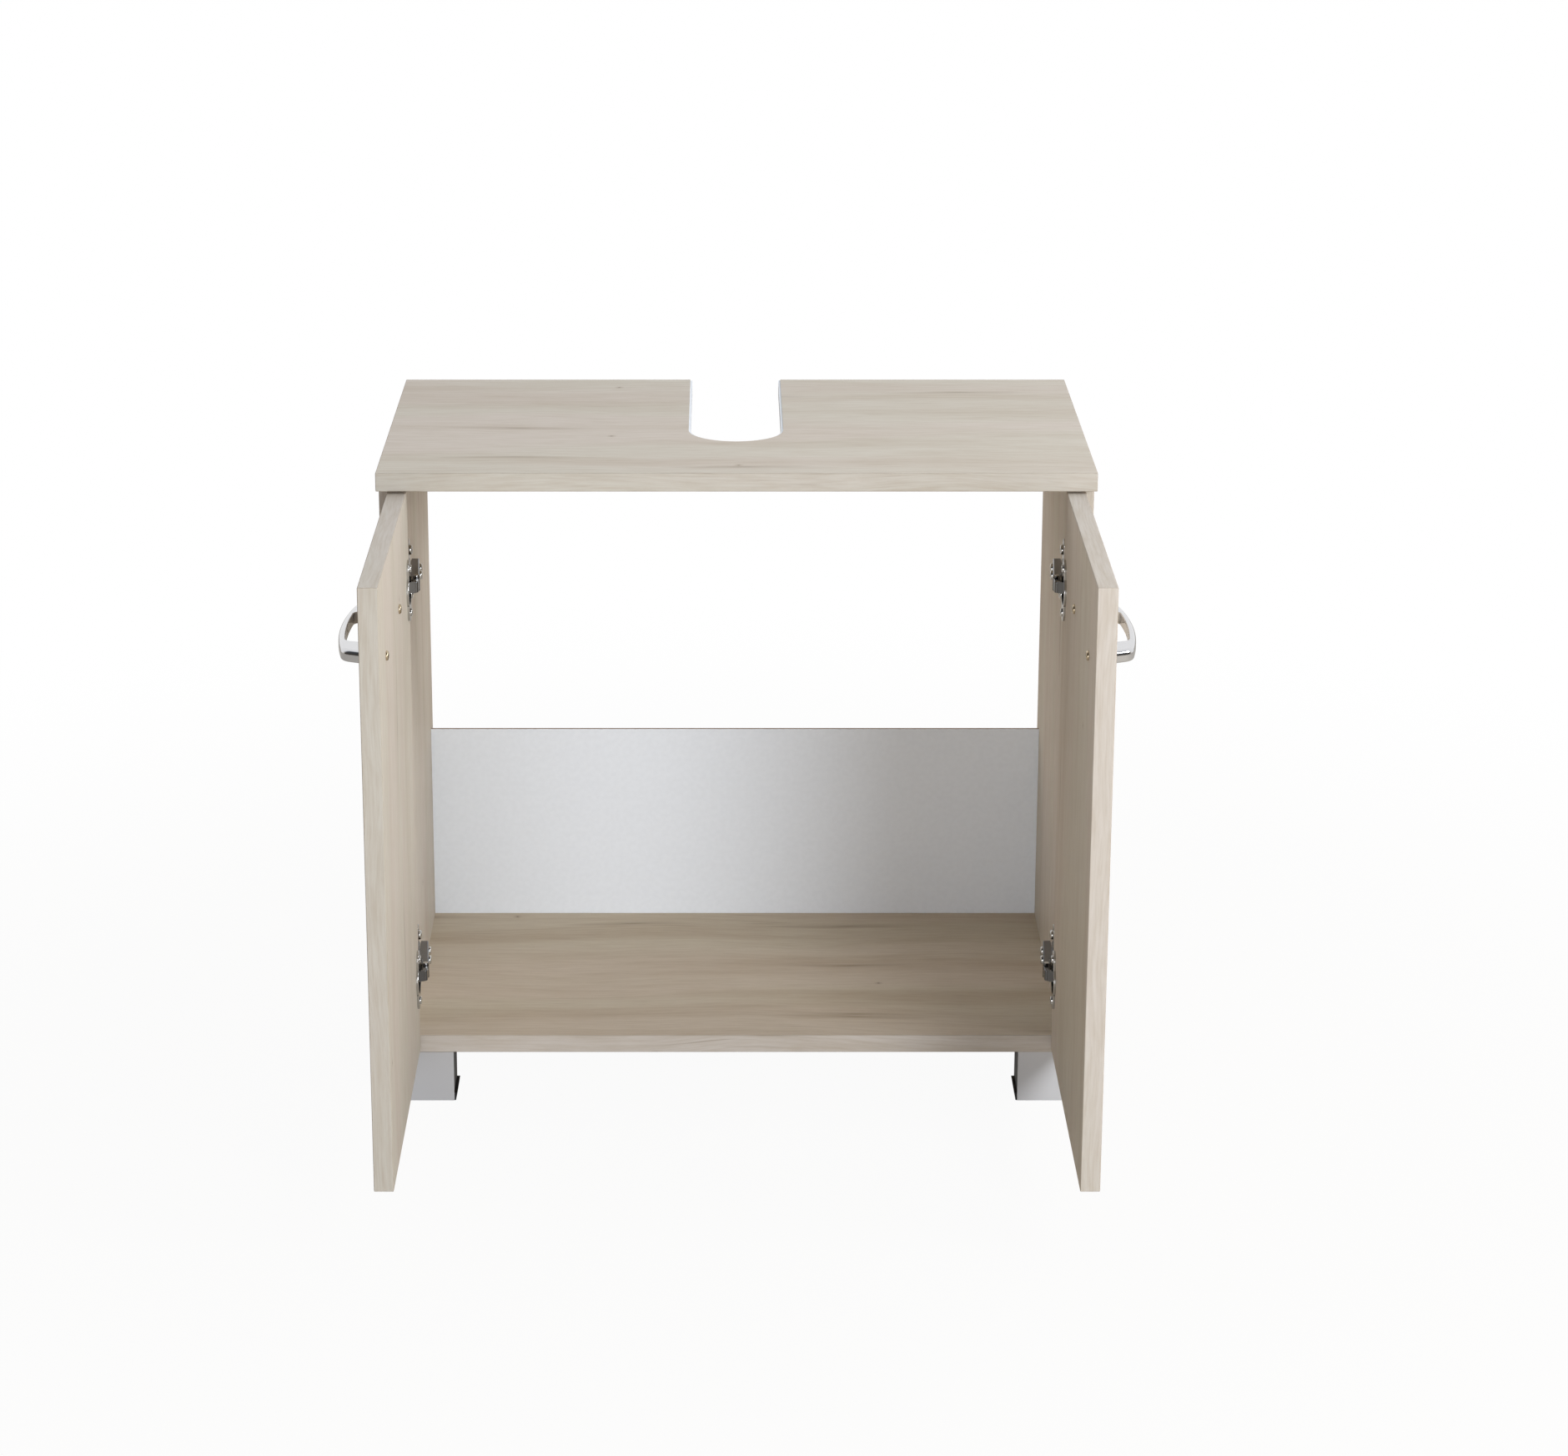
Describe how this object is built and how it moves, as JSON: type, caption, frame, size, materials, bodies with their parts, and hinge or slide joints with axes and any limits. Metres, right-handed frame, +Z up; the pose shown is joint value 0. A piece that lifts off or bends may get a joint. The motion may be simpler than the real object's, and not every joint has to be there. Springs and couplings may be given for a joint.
{
  "type": "base cabinet",
  "caption": "Low cabinet on feet for under a washbasin, with hinged doors on concealed hinges, bow handles, an open back and a U-shaped drain cut-out in the top.",
  "frame": {"origin": "on the floor, in the middle of the box round the cabinet with its doors open", "axes": "+X to the right seen from the front, +Y to the back, +Z up"},
  "size_m": [0.634, 0.6194, 0.575],
  "materials": {
    "oak_laminate": "matt pale greige wood-grain laminate on board",
    "white_hardboard": "white lacquered thin fibreboard",
    "white_edging": "white edging strip",
    "dowel_wood": "fluted beech",
    "satin_silver": "satin silver",
    "black_plastic": "black moulded plastic",
    "satin_chrome": "satin chrome plating",
    "nickel_steel": "nickel-plated pressed steel",
    "zinc_steel": "zinc-plated steel"
  },
  "bodies": {
    "carcass": {"top_panel": "oak_laminate", "cutout_edging": "white_edging", "left_side_panel": "oak_laminate", "right_side_panel": "oak_laminate", "bottom_panel": "oak_laminate", "back_panel": "white_hardboard", "dowels": "dowel_wood", "cam_housings": "zinc_steel", "cam_bolts": "zinc_steel", "foot_screws": "zinc_steel", "plate_screws": "zinc_steel", "arm_screws": "zinc_steel", "arm_pins": "zinc_steel", "front_left_foot_cover": "satin_silver", "front_left_foot_glide": "black_plastic", "front_right_foot_cover": "satin_silver", "front_right_foot_glide": "black_plastic", "rear_left_foot_cover": "satin_silver", "rear_left_foot_glide": "black_plastic", "rear_right_foot_cover": "satin_silver", "rear_right_foot_glide": "black_plastic", "left_upper_hinge_plate": "nickel_steel", "left_upper_hinge_arm": "nickel_steel", "left_lower_hinge_plate": "nickel_steel", "left_lower_hinge_arm": "nickel_steel", "right_upper_hinge_plate": "nickel_steel", "right_upper_hinge_arm": "nickel_steel", "right_lower_hinge_plate": "nickel_steel", "right_lower_hinge_arm": "nickel_steel"},
    "left_links": {"left_upper_hinge_link": "nickel_steel", "left_lower_hinge_link": "nickel_steel"},
    "left_door": {"left_door": "oak_laminate", "left_handle": "satin_chrome", "left_handle_screws": "zinc_steel", "left_cup_screws": "zinc_steel", "left_cup_pins": "zinc_steel", "left_upper_hinge_cup": "nickel_steel", "left_lower_hinge_cup": "nickel_steel"},
    "right_links": {"right_upper_hinge_link": "nickel_steel", "right_lower_hinge_link": "nickel_steel"},
    "right_door": {"right_door": "oak_laminate", "right_handle": "satin_chrome", "right_handle_screws": "zinc_steel", "right_cup_screws": "zinc_steel", "right_cup_pins": "zinc_steel", "right_upper_hinge_cup": "nickel_steel", "right_lower_hinge_cup": "nickel_steel"}
  },
  "joints": [
    {"name": "left_link_swing", "type": "hinge", "parent": "carcass", "child": "left_links", "pos_m": [-0.2695, -0.00875, 0.32], "axis": [0, 0, -1], "range_deg": [-2.5, 38.6]},
    {"name": "left_door_swing", "type": "hinge", "parent": "left_links", "child": "left_door", "pos_m": [-0.2775, -0.02525, 0.32], "axis": [0, 0, -1], "range_deg": [-128.27, 7]},
    {"name": "right_link_swing", "type": "hinge", "parent": "carcass", "child": "right_links", "pos_m": [0.2695, -0.00875, 0.32], "axis": [0, 0, 1], "range_deg": [-2.5, 38.6]},
    {"name": "right_door_swing", "type": "hinge", "parent": "right_links", "child": "right_door", "pos_m": [0.2775, -0.02525, 0.32], "axis": [0, 0, 1], "range_deg": [-128.27, 7]}
  ],
  "couplings": [
    {"joint": "left_link_swing", "follows": "left_door_swing", "ratio": -0.29834},
    {"joint": "right_link_swing", "follows": "right_door_swing", "ratio": -0.29834}
  ]
}
